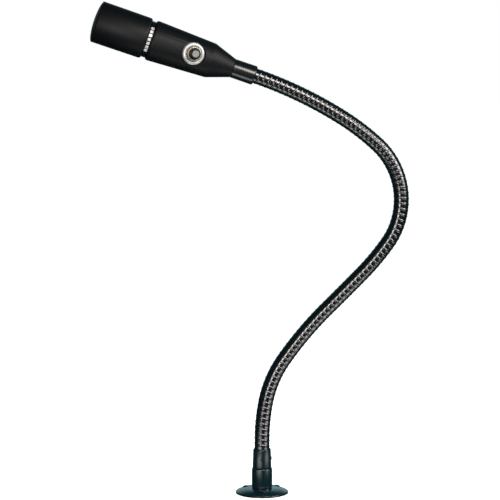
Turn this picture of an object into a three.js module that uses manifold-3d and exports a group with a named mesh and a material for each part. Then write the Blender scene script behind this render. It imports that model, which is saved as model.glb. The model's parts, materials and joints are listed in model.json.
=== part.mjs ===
// A gooseneck podium microphone: a screwed-down flange, a flexible steel neck and a turned head
// with a talk button. Millimetres, +Z up. The origin is the centre of the flange's underside.
// The neck lies in the XZ plane, the head points towards -X and the button faces -Y.
import * as THREE from "three";
import { mergeVertices } from "three/addons/utils/BufferGeometryUtils.js";
import Module from "manifold-3d";

const wasm = await Module();
wasm.setup();

// Clearance between pieces that meet, a slightly freer one for sockets, and the sides on round pieces.
const GAP = 0.3;
const SOCKET_GAP = 0.35;
const FINE = 28;
const MEDIUM = 20;
const COARSE = 12;

// Base
const FLANGE_RADIUS = 24.5;
const FLANGE_RIM = 1.9;
const FLANGE_HEIGHT = 5.2;
const FLANGE_EDGE = 0.6;
const BOSS_RADIUS = 10;
const SCREW_CIRCLE = 16;
const SCREW_SHANK = 1.9;
const SCREW_HEAD = 3.6;
const SCREW_LENGTH = 16;
const COUNTERSINK_DEPTH = 1.9;
const THREAD_RADIUS = 7.6;
const THREAD_BORE = 8;
const PASSAGE_RADIUS = 5;
const COUPLER_RADIUS = 9.5;
const COUPLER_TOP = 23.8;
const NIPPLE_TOP = 15.5;
const FERRULE_TOP = 41.8;
const FERRULE_FOOT_RADIUS = 8.7;
const FERRULE_TOP_RADIUS = 8.2;
const SET_SCREW_HEIGHT = 32.8;
const SET_SCREW_RADIUS = 1.7;

// Gooseneck. Each bend is [arc length, turn in degrees]; it starts straight up out of the lower ferrule.
const HOSE_RADIUS = 7.25;
const HOSE_BORE = 4.2;
const LEAD_RADIUS = 2.3;
const HOSE_INSERT = 12;
const BENDS = [
  [8, 0],
  [36.5, -11],
  [43, -24],
  [63, -10.5],
  [45, 1],
  [37.5, 9.5],
  [16.5, 14.5],
  [83, 68],
  [41.5, 10.5],
  [88.5, 13],
];
const HOSE_LENGTH = BENDS.reduce((sum, [length]) => sum + length, 0);
const HINGES = 12;
const FIRST_HINGE = 27;
const HINGE_TILT = 16;
const HINGE_CLEARANCE = 0.15;
const HINGE_SPACING = (HOSE_LENGTH - 2 * FIRST_HINGE) / (HINGES - 1);

// Head, measured along its own axis from where the hose leaves the neck ferrule.
const NECK_LENGTH = 21.2;
const NECK_REAR_RADIUS = 8.85;
const NECK_FRONT_RADIUS = 8.75;
const NECK_SPIGOT_RADIUS = 6.6;
const NECK_SPIGOT_TIP = 28;
const CONE_FRONT = 42.9;
const CONE_FRONT_RADIUS = 16.15;
const BODY_FRONT = 100.1;
const BODY_FRONT_RADIUS = 18.65;
const BODY_WALL = 2;
const CAP_REAR = 104.2;
const CAP_REAR_RADIUS = 18.95;
const CAP_FRONT = 151.1;
const CAP_FRONT_RADIUS = 19.2;
const SHOULDER = 2.6;
const SHOULDER_FOOT_RADIUS = 17.35;
const BAND_RADIUS = 17.2;
const SPIGOT_RADIUS = 15.3;
const SPIGOT_BORE = 13.7;
const SPIGOT_REAR = 87;
const CAP_BORE = 17.2;
const DOME_RISE = 3.5;
const GRILLE_RADIUS = CAP_BORE - GAP;
const GRILLE_SHEET = 1;
const CAPSULE_REAR = 111.3;
const TRANSFORMER_PLACE = 82.5;
const TERMINAL_BOARD_PLACE = 46;

// Talk switch, measured outwards from the head's axis. It leans back towards the neck and a little upwards.
const SWITCH_PLACE = 63.1;
const SWITCH_LEAN = 9;
const SWITCH_TURN = 3;
const SEAT_HEIGHT = 15.8;
const BEZEL_RADIUS = 10.2;
const BEZEL_TOP = 19.1;
const BEZEL_CROWN_RADIUS = 7.7;
const BUSHING_RADIUS = 6.6;
const BUSHING_TOP = 22.6;
const BUSHING_FOOT = 3;
const BUSHING_STEP = 10;
const BUSHING_COUNTERBORE = 6.3;
const BUSHING_BORE = 5.2;
const COLLAR_RADIUS = 8.2;
const COLLAR_TOP = 11.4;
const PLUNGER_RADIUS = 4.9;
const PLUNGER_COLLAR_RADIUS = 5.9;
const PLUNGER_FOOT = 7.6;
const PLUNGER_TOP = 27.6;
const CASE_RADIUS = 7.2;
const CASE_WALL = 2.2;
const CASE_BOTTOM = -8;

const radians = THREE.MathUtils.degToRad;

// ---------------------------------------------------------------- helpers

function finish(color, roughness, metalness) {
  return new THREE.MeshStandardMaterial({ color, roughness, metalness });
}

const glossBlack = () => finish(0x0d0e10, 0.25, 0.3);
const satinBlack = () => finish(0x1c1e21, 0.5, 0.2);
const matteBlack = () => finish(0x2a2c2f, 0.75, 0.1);
const nickel = () => finish(0xd8d8d6, 0.25, 1);
const greyPlastic = () => finish(0xa7a9a8, 0.5, 0);
const steel = () => finish(0x8c8f92, 0.4, 1);
const zincPlate = () => finish(0x9fa3a6, 0.4, 1);
const copper = () => finish(0xa85a2c, 0.4, 1);
const ferrite = () => finish(0x3b3b3d, 0.8, 0.1);
const rubber = () => finish(0x161616, 0.9, 0);
const foam = () => finish(0x202124, 1, 0);
const film = () => finish(0xc8b98a, 0.3, 0);
const board = () => finish(0x2f5a3a, 0.6, 0);
const casePlastic = () => finish(0x24262a, 0.6, 0);
const leadJacket = () => finish(0x101010, 0.6, 0);

// A solid of revolution about +Z from [radius, height] pairs.
function turned(profile, sides = FINE) {
  const points = profile.map(([radius, height]) => new THREE.Vector2(radius, height));
  return new THREE.LatheGeometry(points, sides).rotateX(Math.PI / 2);
}

// A ring-shaped solid of revolution: the profile closes on itself.
function turnedRing(profile, sides = FINE) {
  return turned([...profile, profile[0]], sides);
}

function rod(radius, low, high, sides = MEDIUM) {
  return turned([[0, low], [radius, low], [radius, high], [0, high]], sides);
}

function tube(inner, outer, low, high, sides = FINE) {
  return turnedRing([[inner, low], [outer, low], [outer, high], [inner, high]], sides);
}

function block(width, depth, height) {
  return new THREE.BoxGeometry(width, depth, height);
}

// Points of a quarter-round edge from one [radius, height] to another, bulging outwards.
function roundedEdge(from, to, steps, radialFirst) {
  const points = [];
  for (let i = 0; i <= steps; i++) {
    const angle = (Math.PI / 2) * (i / steps);
    const slow = 1 - Math.cos(angle);
    const fast = Math.sin(angle);
    const radial = radialFirst ? fast : slow;
    const axial = radialFirst ? slow : fast;
    points.push([from[0] + (to[0] - from[0]) * radial, from[1] + (to[1] - from[1]) * axial]);
  }
  return points;
}

function toManifold(geometry) {
  const bare = new THREE.BufferGeometry();
  bare.setAttribute("position", geometry.getAttribute("position"));
  bare.setIndex(geometry.index);
  const merged = mergeVertices(bare, 1e-4);
  return new wasm.Manifold(
    new wasm.Mesh({
      numProp: 3,
      vertProperties: new Float32Array(merged.getAttribute("position").array),
      triVerts: new Uint32Array(merged.index.array),
    }),
  );
}

function toGeometry(solid) {
  const mesh = solid.getMesh();
  const geometry = new THREE.BufferGeometry();
  geometry.setAttribute("position", new THREE.BufferAttribute(mesh.vertProperties, 3));
  geometry.setIndex(new THREE.BufferAttribute(mesh.triVerts, 1));
  geometry.computeVertexNormals();
  return geometry;
}

function cut(geometry, cutters) {
  let solid = toManifold(geometry);
  for (const cutter of cutters) solid = solid.subtract(toManifold(cutter));
  return toGeometry(solid);
}

function place(parent, name, geometry, material) {
  const mesh = new THREE.Mesh(geometry, material);
  mesh.name = name;
  parent.add(mesh);
  return mesh;
}

// ---------------------------------------------------------------- the hose's line

// The hose's centre and its direction's angle above +X at an arc length from the lower ferrule.
function hoseAt(arc) {
  let x = 0;
  let z = FERRULE_TOP;
  let angle = Math.PI / 2;
  let left = arc;
  if (arc < 0) return { x, z: z + arc, angle };
  for (const [length, turn] of BENDS) {
    const run = Math.min(left, length);
    const swing = radians(turn) * (run / length);
    const chord = swing === 0 ? run : (run * Math.sin(swing / 2)) / (swing / 2);
    x += chord * Math.cos(angle + swing / 2);
    z += chord * Math.sin(angle + swing / 2);
    angle += swing;
    left -= run;
    if (left <= 0) return { x, z, angle };
  }
  return { x: x + left * Math.cos(angle), z: z + left * Math.sin(angle), angle };
}

// Lays a straight piece, modelled along +Z by arc length, along the hose's line.
function alongHose(geometry) {
  const position = geometry.getAttribute("position");
  for (let i = 0; i < position.count; i++) {
    const across = position.getX(i);
    const { x, z, angle } = hoseAt(position.getZ(i));
    position.setX(i, x + across * Math.sin(angle));
    position.setZ(i, z - across * Math.cos(angle));
  }
  geometry.computeVertexNormals();
  return geometry;
}

const hingeArc = (index) => FIRST_HINGE + HINGE_SPACING * index;

// How far a wall at this radius stands back from a hinge, so that neighbours can tilt.
function standBack(radius) {
  return HINGE_CLEARANCE + radius * Math.tan(radians(HINGE_TILT / 2 + 1));
}

// A tubular or solid section between two arc lengths. Its ends are coned where a hinge adjoins them.
function hoseSection(inner, outer, start, end, startsAtHinge, endsAtHinge, sides) {
  const low = (radius) => start + (startsAtHinge ? standBack(radius) : 0);
  const high = (radius) => end - (endsAtHinge ? standBack(radius) : 0);
  const turn = Math.abs(hoseAt(end).angle - hoseAt(start).angle);
  const steps = Math.max(2, Math.ceil(turn / radians(8)));
  const outerWall = [];
  const innerWall = [];
  for (let i = 0; i <= steps; i++) {
    const share = i / steps;
    outerWall.push([outer, low(outer) + (high(outer) - low(outer)) * share]);
    innerWall.push([inner, high(inner) + (low(inner) - high(inner)) * share]);
  }
  if (inner > 0) return alongHose(turnedRing([...outerWall, ...innerWall], sides));
  return alongHose(turned([[0, low(0)], ...outerWall, [0, high(0)]], sides));
}

// ---------------------------------------------------------------- base

function flangeTop(radius) {
  const share = (radius - BOSS_RADIUS) / (FLANGE_RADIUS - FLANGE_EDGE - BOSS_RADIUS);
  return FLANGE_HEIGHT - (FLANGE_HEIGHT - FLANGE_RIM) * share * share;
}

const screwTop = flangeTop(SCREW_CIRCLE);

function flangeGeometry() {
  const domeSteps = 5;
  const rim = FLANGE_RADIUS - FLANGE_EDGE;
  const dome = [];
  for (let i = 0; i <= domeSteps; i++) {
    const radius = rim - ((rim - BOSS_RADIUS) * i) / domeSteps;
    dome.push([radius, flangeTop(radius)]);
  }
  const body = turnedRing([
    [THREAD_BORE, 0],
    [FLANGE_RADIUS - FLANGE_EDGE / 2, 0],
    [FLANGE_RADIUS, FLANGE_EDGE / 2],
    [FLANGE_RADIUS, FLANGE_RIM - FLANGE_EDGE],
    ...dome,
    [THREAD_BORE, FLANGE_HEIGHT],
  ]);
  return cut(body, screwPlaces().map(({ x, y }) => screwHole().translate(x, y, 0)));
}

function screwPlaces() {
  const names = ["front", "right", "left"];
  return names.map((name, i) => {
    const angle = radians(-90 + 120 * i);
    return { name, x: SCREW_CIRCLE * Math.cos(angle), y: SCREW_CIRCLE * Math.sin(angle) };
  });
}

function screwHole() {
  const hole = SCREW_SHANK + GAP;
  const mouth = SCREW_HEAD + GAP;
  const seat = screwTop - COUNTERSINK_DEPTH - GAP;
  const above = screwTop + 3;
  const below = -1;
  return turned([
    [0, below],
    [hole, below],
    [hole, seat],
    [mouth, screwTop - GAP],
    [mouth, above],
    [0, above],
  ], MEDIUM);
}

function woodScrew() {
  const crown = 0.8;
  const tip = 4;
  const body = turned([
    [0, -SCREW_LENGTH],
    [SCREW_SHANK, tip - SCREW_LENGTH],
    [SCREW_SHANK, screwTop - COUNTERSINK_DEPTH],
    [SCREW_HEAD, screwTop - 0.2],
    [SCREW_HEAD * 0.6, screwTop + crown * 0.7],
    [0, screwTop + crown],
  ], COARSE);
  const slotLength = 3.6;
  const slotWidth = 0.9;
  const slotDepth = 1.6;
  const recess = [block(slotLength, slotWidth, slotDepth), block(slotWidth, slotLength, slotDepth)];
  return cut(body, recess.map((slot) => slot.translate(0, 0, screwTop + crown - slotDepth / 2 + 0.3)));
}

function couplerGeometry() {
  const low = FLANGE_HEIGHT + GAP;
  const chamfer = 0.5;
  return turnedRing([
    [THREAD_BORE, low],
    [COUPLER_RADIUS - chamfer, low],
    [COUPLER_RADIUS, low + chamfer],
    [COUPLER_RADIUS, COUPLER_TOP - chamfer],
    [COUPLER_RADIUS - chamfer, COUPLER_TOP],
    [THREAD_BORE, COUPLER_TOP],
  ]);
}

function lowerFerruleGeometry() {
  const foot = COUPLER_TOP + GAP;
  const socket = HOSE_RADIUS + SOCKET_GAP;
  const socketFloor = FERRULE_TOP - HOSE_INSERT - GAP;
  const spigotFoot = NIPPLE_TOP + 1.5;
  const edge = 0.5;
  const body = turnedRing([
    [PASSAGE_RADIUS, spigotFoot],
    [THREAD_RADIUS, spigotFoot],
    [THREAD_RADIUS, foot],
    [FERRULE_FOOT_RADIUS, foot],
    [FERRULE_TOP_RADIUS, FERRULE_TOP - edge],
    [FERRULE_TOP_RADIUS - edge, FERRULE_TOP],
    [socket, FERRULE_TOP],
    [socket, socketFloor],
    [PASSAGE_RADIUS, socketFloor],
  ]);
  const hole = () => rod(SET_SCREW_RADIUS + GAP, PASSAGE_RADIUS + 1, FERRULE_FOOT_RADIUS + 3, COARSE);
  return cut(body, setScrewDirections().map(({ turn }) => sideways(hole(), turn)));
}

function setScrewDirections() {
  return [{ name: "front", turn: -90 }, { name: "right", turn: 0 }];
}

// Turns a piece modelled along +Z so that it points outwards at the set screws' height.
function sideways(geometry, turn) {
  return geometry.rotateY(Math.PI / 2).rotateZ(radians(turn)).translate(0, 0, SET_SCREW_HEIGHT);
}

function setScrew() {
  const tip = HOSE_RADIUS + 0.2;
  const end = 9;
  const keyRadius = 0.9;
  const keyDepth = 1;
  const keySides = 6;
  const keySocket = rod(keyRadius, end - keyDepth, end + 1, keySides);
  return cut(rod(SET_SCREW_RADIUS, tip, end, COARSE), [keySocket]);
}

function buildBase() {
  const group = new THREE.Group();
  place(group, "mounting_flange", flangeGeometry(), glossBlack());
  for (const { name, x, y } of screwPlaces()) {
    place(group, `flange_screw_${name}`, woodScrew(), glossBlack()).position.set(x, y, 0);
  }
  place(group, "threaded_nipple", tube(PASSAGE_RADIUS, THREAD_RADIUS, 0.6, NIPPLE_TOP), steel());
  place(group, "base_coupler", couplerGeometry(), glossBlack());
  place(group, "lower_ferrule", lowerFerruleGeometry(), glossBlack());
  for (const { name, turn } of setScrewDirections()) {
    place(group, `ferrule_set_screw_${name}`, sideways(setScrew(), turn), glossBlack());
  }
  return group;
}

// ---------------------------------------------------------------- gooseneck

function buildGooseneck() {
  const group = new THREE.Group();
  const leadFoot = 1 - FERRULE_TOP;
  const leadTip = HOSE_LENGTH + CONE_FRONT + 2;
  for (let i = 0; i <= HINGES; i++) {
    const first = i === 0;
    const last = i === HINGES;
    const label = String(i + 1).padStart(2, "0");
    const hoseStart = first ? -HOSE_INSERT : hingeArc(i - 1);
    const hoseEnd = last ? HOSE_LENGTH + HOSE_INSERT : hingeArc(i);
    const leadStart = first ? leadFoot : hoseStart;
    const leadEnd = last ? leadTip : hoseEnd;
    const hose = hoseSection(HOSE_BORE, HOSE_RADIUS, hoseStart, hoseEnd, !first, !last, 16);
    const lead = hoseSection(0, LEAD_RADIUS, leadStart, leadEnd, !first, !last, 8);
    place(group, `hose_section_${label}`, hose, glossBlack());
    place(group, `lead_section_${label}`, lead, leadJacket());
  }
  return group;
}

// ---------------------------------------------------------------- head shells

function neckFerruleGeometry() {
  const socket = HOSE_RADIUS + SOCKET_GAP;
  const socketFloor = HOSE_INSERT + GAP;
  return turnedRing([
    [socket, 0],
    ...roundedEdge([NECK_REAR_RADIUS - 0.7, 0], [NECK_REAR_RADIUS, 0.9], 2, true),
    [NECK_FRONT_RADIUS, NECK_LENGTH],
    [NECK_SPIGOT_RADIUS, NECK_LENGTH],
    [NECK_SPIGOT_RADIUS, NECK_SPIGOT_TIP],
    [PASSAGE_RADIUS, NECK_SPIGOT_TIP],
    [PASSAGE_RADIUS, socketFloor],
    [socket, socketFloor],
  ]);
}

function rearHousingGeometry() {
  const rear = NECK_LENGTH + GAP;
  const rearBore = NECK_SPIGOT_RADIUS + SOCKET_GAP;
  const frontBore = SPIGOT_RADIUS + GAP + 0.1;
  const shoulder = BODY_FRONT - SHOULDER;
  const body = turnedRing([
    [rearBore, rear],
    [NECK_FRONT_RADIUS, rear],
    [CONE_FRONT_RADIUS, CONE_FRONT],
    ...roundedEdge([BODY_FRONT_RADIUS, shoulder], [SHOULDER_FOOT_RADIUS, BODY_FRONT], 4, false),
    [frontBore, BODY_FRONT],
    [frontBore, SPIGOT_REAR - 1],
    [CONE_FRONT_RADIUS - BODY_WALL, CONE_FRONT + 1],
    [rearBore, NECK_SPIGOT_TIP + 0.8],
  ]);
  const insideWall = COLLAR_TOP - 2.4;
  const outsideWall = BODY_FRONT_RADIUS + 2.4;
  const seatMargin = 1.2;
  const barrelHole = rod(BUSHING_RADIUS + SOCKET_GAP, insideWall, outsideWall);
  const seat = rod(BEZEL_RADIUS + seatMargin, SEAT_HEIGHT, outsideWall, FINE);
  return cut(body, [inSwitchFrame(barrelHole), inSwitchFrame(seat)]);
}

// Height of the domed front at a radius: nearly flat in the middle, rounding over at the rim.
function domeHeight(radius) {
  const roundness = 0.6;
  const share = radius / CAP_FRONT_RADIUS;
  return CAP_FRONT + DOME_RISE * (1 - share * share) ** roundness;
}

function frontCapGeometry() {
  const boreFloor = CAP_REAR + 4;
  const lip = (CAP_BORE + CAP_FRONT_RADIUS) / 2;
  return turnedRing([
    [SPIGOT_BORE, SPIGOT_REAR],
    [SPIGOT_RADIUS, SPIGOT_REAR],
    [SPIGOT_RADIUS, CAP_REAR],
    ...roundedEdge([SHOULDER_FOOT_RADIUS, CAP_REAR], [CAP_REAR_RADIUS, CAP_REAR + SHOULDER], 4, true),
    [CAP_FRONT_RADIUS, CAP_FRONT],
    [lip, domeHeight(lip)],
    [CAP_BORE, domeHeight(CAP_BORE)],
    [CAP_BORE, boreFloor],
    [SPIGOT_BORE, boreFloor - 2],
  ]);
}

// The domed grille with its skirt, and a centre hole with two rings of sound holes round it.
function grilleGeometry() {
  const skirtFoot = CAP_FRONT - 3;
  const inner = GRILLE_RADIUS - GRILLE_SHEET;
  const holeRadius = 1.4;
  const steps = [0, 6, 12, inner];
  const inside = steps.map((radius) => [radius, domeHeight(radius) - GRILLE_SHEET]);
  const outside = [...steps, GRILLE_RADIUS].map((radius) => [radius, domeHeight(radius)]).reverse();
  const shell = turned([...inside, [inner, skirtFoot], [GRILLE_RADIUS, skirtFoot], ...outside]);
  const holes = [];
  for (const [count, ring] of [[1, 0], [6, 5.2], [12, 10.6]]) {
    for (let i = 0; i < count; i++) {
      const angle = (2 * Math.PI * i) / count;
      const hole = rod(holeRadius, CAP_FRONT - 4, CAP_FRONT + 6, 8);
      holes.push(hole.translate(ring * Math.cos(angle), ring * Math.sin(angle), 0));
    }
  }
  return cut(shell, holes);
}

function buildHeadShells(head) {
  place(head, "neck_ferrule", neckFerruleGeometry(), satinBlack());
  place(head, "rear_housing", rearHousingGeometry(), matteBlack());
  const bandInner = SPIGOT_RADIUS + GAP;
  place(head, "trim_band", tube(bandInner, BAND_RADIUS, BODY_FRONT + GAP, CAP_REAR - GAP), nickel());
  place(head, "front_cap", frontCapGeometry(), matteBlack());
  place(head, "front_grille", grilleGeometry(), matteBlack());
}

// ---------------------------------------------------------------- capsule and transformer

// Capsule, measured from the back of its basket.
const BASKET_RADIUS = 15.4;
const BASKET_BORE = 14.2;
const BASKET_LENGTH = 32;
const BASKET_FLOOR = 2;
const YOKE_REAR = BASKET_FLOOR + GAP;
const YOKE_FLOOR = 4.8;
const YOKE_FRONT = 21;
const YOKE_RADIUS = 11.5;
const YOKE_BORE = 9.9;
const POLE_REAR = 16.9;
const POLE_RADIUS = 7.8;
const MAGNET_RADIUS = 7;
const COIL_REAR = 17.6;
const COIL_INNER = 8.2;
const COIL_OUTER = 8.9;
const DIAPHRAGM_PLACE = 25.9;
const DIAPHRAGM_RADIUS = 13.8;
const DIAPHRAGM_RISE = 2.6;
const DIAPHRAGM_THICKNESS = 0.4;
const SHOCK_RING_INNER = 15.75;
const SHOCK_RING_OUTER = 16.85;
const SHOCK_RING_WIDTH = 3;
const SHOCK_RING_FRONT = 26;
const SHOCK_RING_REAR = 3;
const FOAM_RADIUS = 16.4;
const FOAM_THICKNESS = 3.3;

function diaphragmGeometry() {
  const shoulderRadius = COIL_OUTER * 0.6;
  const shoulder = DIAPHRAGM_PLACE + DIAPHRAGM_RISE * 0.62;
  const crown = DIAPHRAGM_PLACE + DIAPHRAGM_RISE;
  return turned([
    [0, crown],
    [shoulderRadius, shoulder],
    [COIL_OUTER, DIAPHRAGM_PLACE],
    [DIAPHRAGM_RADIUS, DIAPHRAGM_PLACE],
    [DIAPHRAGM_RADIUS, DIAPHRAGM_PLACE + DIAPHRAGM_THICKNESS],
    [COIL_OUTER + 0.2, DIAPHRAGM_PLACE + DIAPHRAGM_THICKNESS],
    [shoulderRadius, shoulder + DIAPHRAGM_THICKNESS],
    [0, crown + DIAPHRAGM_THICKNESS],
  ]);
}

function basketGeometry() {
  return turned([
    [0, 0],
    [BASKET_RADIUS, 0],
    [BASKET_RADIUS, BASKET_LENGTH],
    [BASKET_BORE, BASKET_LENGTH],
    [BASKET_BORE, BASKET_FLOOR],
    [0, BASKET_FLOOR],
  ]);
}

function yokeGeometry() {
  return turned([
    [0, YOKE_REAR],
    [YOKE_RADIUS, YOKE_REAR],
    [YOKE_RADIUS, YOKE_FRONT],
    [YOKE_BORE, YOKE_FRONT],
    [YOKE_BORE, YOKE_FLOOR],
    [0, YOKE_FLOOR],
  ]);
}

function buildCapsule(head) {
  const group = new THREE.Group();
  group.position.z = CAPSULE_REAR;
  const foamRear = BASKET_LENGTH + 2 * GAP;
  place(group, "foam_pad", rod(FOAM_RADIUS, foamRear, foamRear + FOAM_THICKNESS, FINE), foam());
  place(group, "capsule_basket", basketGeometry(), zincPlate());
  place(group, "diaphragm", diaphragmGeometry(), film());
  const coil = tube(COIL_INNER, COIL_OUTER, COIL_REAR, DIAPHRAGM_PLACE - GAP, MEDIUM);
  place(group, "voice_coil", coil, copper());
  place(group, "magnet", rod(MAGNET_RADIUS, YOKE_FLOOR + GAP, POLE_REAR - GAP), ferrite());
  place(group, "pole_piece", rod(POLE_RADIUS, POLE_REAR, YOKE_FRONT), steel());
  place(group, "rear_yoke", yokeGeometry(), steel());
  for (const [name, low] of [["front", SHOCK_RING_FRONT], ["rear", SHOCK_RING_REAR]]) {
    const ring = tube(SHOCK_RING_INNER, SHOCK_RING_OUTER, low, low + SHOCK_RING_WIDTH, MEDIUM);
    place(group, `shock_ring_${name}`, ring, rubber());
  }
  head.add(group);
}

function buildTransformer(head) {
  const coreWidth = 18;
  const coreDepth = 14;
  const coreHeight = 20;
  const windowWidth = 4;
  const windowHeight = 12;
  const windowPlace = 5;
  const windingDepth = coreDepth + 5;
  const windows = [-1, 1].map((side) =>
    block(windowWidth, coreDepth + 2, windowHeight).translate(side * windowPlace, 0, 0),
  );
  const core = cut(block(coreWidth, coreDepth, coreHeight), windows);
  const leg = 2 * windowPlace - windowWidth;
  const windingWidth = 2 * (windowPlace + windowWidth / 2 - GAP);
  const windingHeight = windowHeight - 2 * GAP;
  const legSlot = block(leg + 2 * GAP, coreDepth + 2 * GAP, windingHeight + 2);
  const winding = cut(block(windingWidth, windingDepth, windingHeight), [legSlot]);
  place(head, "transformer_core", core, steel()).position.z = TRANSFORMER_PLACE;
  place(head, "transformer_winding", winding, copper()).position.z = TRANSFORMER_PLACE;
  const boardRadius = 10;
  const boardThickness = 1.6;
  const terminals = rod(boardRadius, TERMINAL_BOARD_PLACE, TERMINAL_BOARD_PLACE + boardThickness);
  place(head, "terminal_board", terminals, board());
}

// ---------------------------------------------------------------- talk switch

// Turns a piece modelled along +Z to the switch's direction, out of the head's side towards -Y.
function inSwitchFrame(geometry) {
  return geometry
    .rotateX(Math.PI / 2 + radians(SWITCH_LEAN))
    .rotateZ(radians(SWITCH_TURN))
    .translate(0, 0, SWITCH_PLACE);
}

function bezelGeometry() {
  const foot = SEAT_HEIGHT + GAP;
  const bore = BUSHING_RADIUS + SOCKET_GAP;
  return turnedRing([
    [bore, foot],
    [BEZEL_RADIUS, foot],
    ...roundedEdge([BEZEL_RADIUS, foot + 1], [BEZEL_CROWN_RADIUS, BEZEL_TOP], 3, false),
    [bore, BEZEL_TOP - 0.5],
  ]);
}

function bushingGeometry() {
  const chamfer = 0.4;
  return turnedRing([
    [BUSHING_COUNTERBORE, BUSHING_FOOT],
    [COLLAR_RADIUS, BUSHING_FOOT],
    [COLLAR_RADIUS, COLLAR_TOP],
    [BUSHING_RADIUS, COLLAR_TOP],
    [BUSHING_RADIUS, BUSHING_TOP - chamfer],
    [BUSHING_RADIUS - chamfer, BUSHING_TOP],
    [BUSHING_BORE, BUSHING_TOP],
    [BUSHING_BORE, BUSHING_STEP],
    [BUSHING_COUNTERBORE, BUSHING_STEP],
  ], MEDIUM);
}

function plungerGeometry() {
  const chamfer = 0.5;
  const shoulder = BUSHING_STEP - 0.4;
  return turned([
    [0, PLUNGER_FOOT],
    [PLUNGER_COLLAR_RADIUS, PLUNGER_FOOT],
    [PLUNGER_COLLAR_RADIUS, shoulder],
    [PLUNGER_RADIUS, shoulder],
    [PLUNGER_RADIUS, PLUNGER_TOP - chamfer],
    [PLUNGER_RADIUS - chamfer, PLUNGER_TOP],
    [0, PLUNGER_TOP],
  ], MEDIUM);
}

function springGeometry() {
  const low = -5.2;
  const high = 6.8;
  const turns = 4;
  const coilRadius = 3.6;
  const wire = 0.4;
  class Helix extends THREE.Curve {
    getPoint(share, target = new THREE.Vector3()) {
      const angle = share * turns * 2 * Math.PI;
      const height = low + (high - low) * share;
      return target.set(coilRadius * Math.cos(angle), coilRadius * Math.sin(angle), height);
    }
  }
  const section = new THREE.Shape();
  section.absarc(0, 0, wire, 0, 2 * Math.PI);
  return new THREE.ExtrudeGeometry(section, { steps: 40, curveSegments: 3, extrudePath: new Helix() });
}

function switchCaseGeometry() {
  const cavity = CASE_RADIUS - CASE_WALL;
  const floor = CASE_BOTTOM + 2;
  return turned([
    [0, CASE_BOTTOM],
    [CASE_RADIUS, CASE_BOTTOM],
    [CASE_RADIUS, BUSHING_FOOT - GAP],
    [cavity, BUSHING_FOOT - GAP],
    [cavity, floor],
    [0, floor],
  ], MEDIUM);
}

function buildSwitch(head) {
  const group = new THREE.Group();
  group.position.z = SWITCH_PLACE;
  group.rotation.set(Math.PI / 2 + radians(SWITCH_LEAN), 0, radians(SWITCH_TURN), "ZYX");
  place(group, "switch_bezel", bezelGeometry(), nickel());
  place(group, "switch_bushing", bushingGeometry(), nickel());
  place(group, "switch_plunger", plungerGeometry(), greyPlastic());
  place(group, "switch_spring", springGeometry(), steel());
  place(group, "switch_case", switchCaseGeometry(), casePlastic());
  const lugLength = 3.6;
  const lugWidth = 3;
  const lugThickness = 0.8;
  const lugSpread = 3.5;
  for (const [name, side] of [["left", -1], ["right", 1]]) {
    const lug = place(group, `switch_lug_${name}`, block(lugThickness, lugWidth, lugLength), nickel());
    lug.position.set(side * lugSpread, 0, CASE_BOTTOM - GAP - lugLength / 2);
  }
  head.add(group);
}

// ---------------------------------------------------------------- assembly

function buildHead() {
  const head = new THREE.Group();
  const { x, z, angle } = hoseAt(HOSE_LENGTH);
  head.position.set(x, 0, z);
  head.rotation.y = Math.PI / 2 - angle;
  buildHeadShells(head);
  buildCapsule(head);
  buildTransformer(head);
  buildSwitch(head);
  return head;
}

const microphone = new THREE.Group();
microphone.add(buildBase(), buildGooseneck(), buildHead());

export default microphone;
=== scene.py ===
"""The looks of the gooseneck podium microphone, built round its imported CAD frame."""

import json
import math

import bmesh
import bpy
import numpy as np
from mathutils import Matrix, Vector


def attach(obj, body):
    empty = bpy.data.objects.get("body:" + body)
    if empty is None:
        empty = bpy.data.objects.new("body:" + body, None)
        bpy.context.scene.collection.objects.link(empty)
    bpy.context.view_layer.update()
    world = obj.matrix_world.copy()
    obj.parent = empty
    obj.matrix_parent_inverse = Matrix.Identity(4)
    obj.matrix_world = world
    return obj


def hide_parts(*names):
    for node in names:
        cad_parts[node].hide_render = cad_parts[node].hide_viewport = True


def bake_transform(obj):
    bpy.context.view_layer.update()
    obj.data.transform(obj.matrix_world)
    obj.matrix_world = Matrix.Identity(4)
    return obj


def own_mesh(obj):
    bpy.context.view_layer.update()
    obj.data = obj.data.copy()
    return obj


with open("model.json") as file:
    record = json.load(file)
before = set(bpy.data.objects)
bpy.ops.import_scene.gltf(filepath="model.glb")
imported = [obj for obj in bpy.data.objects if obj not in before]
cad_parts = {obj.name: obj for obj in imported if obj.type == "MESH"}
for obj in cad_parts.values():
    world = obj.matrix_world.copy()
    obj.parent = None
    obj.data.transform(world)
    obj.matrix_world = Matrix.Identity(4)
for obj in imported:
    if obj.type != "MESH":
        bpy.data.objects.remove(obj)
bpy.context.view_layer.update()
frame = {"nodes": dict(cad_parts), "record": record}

MM = 0.001

# Sizes shared with the CAD model, in millimetres.
FLANGE_RADIUS = 24.5
FLANGE_RIM = 1.9
FLANGE_HEIGHT = 5.2
FLANGE_EDGE = 0.6
BOSS_RADIUS = 10
SCREW_CIRCLE = 16
SCREW_HEAD = 3.6
SCREW_SHANK = 1.9
SCREW_LENGTH = 16
COUNTERSINK_DEPTH = 1.9
THREAD_RADIUS = 7.6
THREAD_BORE = 8
PASSAGE_RADIUS = 5
COUPLER_RADIUS = 9.5
COUPLER_TOP = 23.8
NIPPLE_TOP = 15.5
FERRULE_TOP = 41.8
FERRULE_FOOT_RADIUS = 8.7
FERRULE_TOP_RADIUS = 8.2
SET_SCREW_HEIGHT = 32.8
SET_SCREW_RADIUS = 1.7
GAP = 0.3
SOCKET_GAP = 0.35

HOSE_RADIUS = 7.2
HOSE_BORE = 4.2
LEAD_RADIUS = 2.3
HOSE_INSERT = 12
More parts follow.
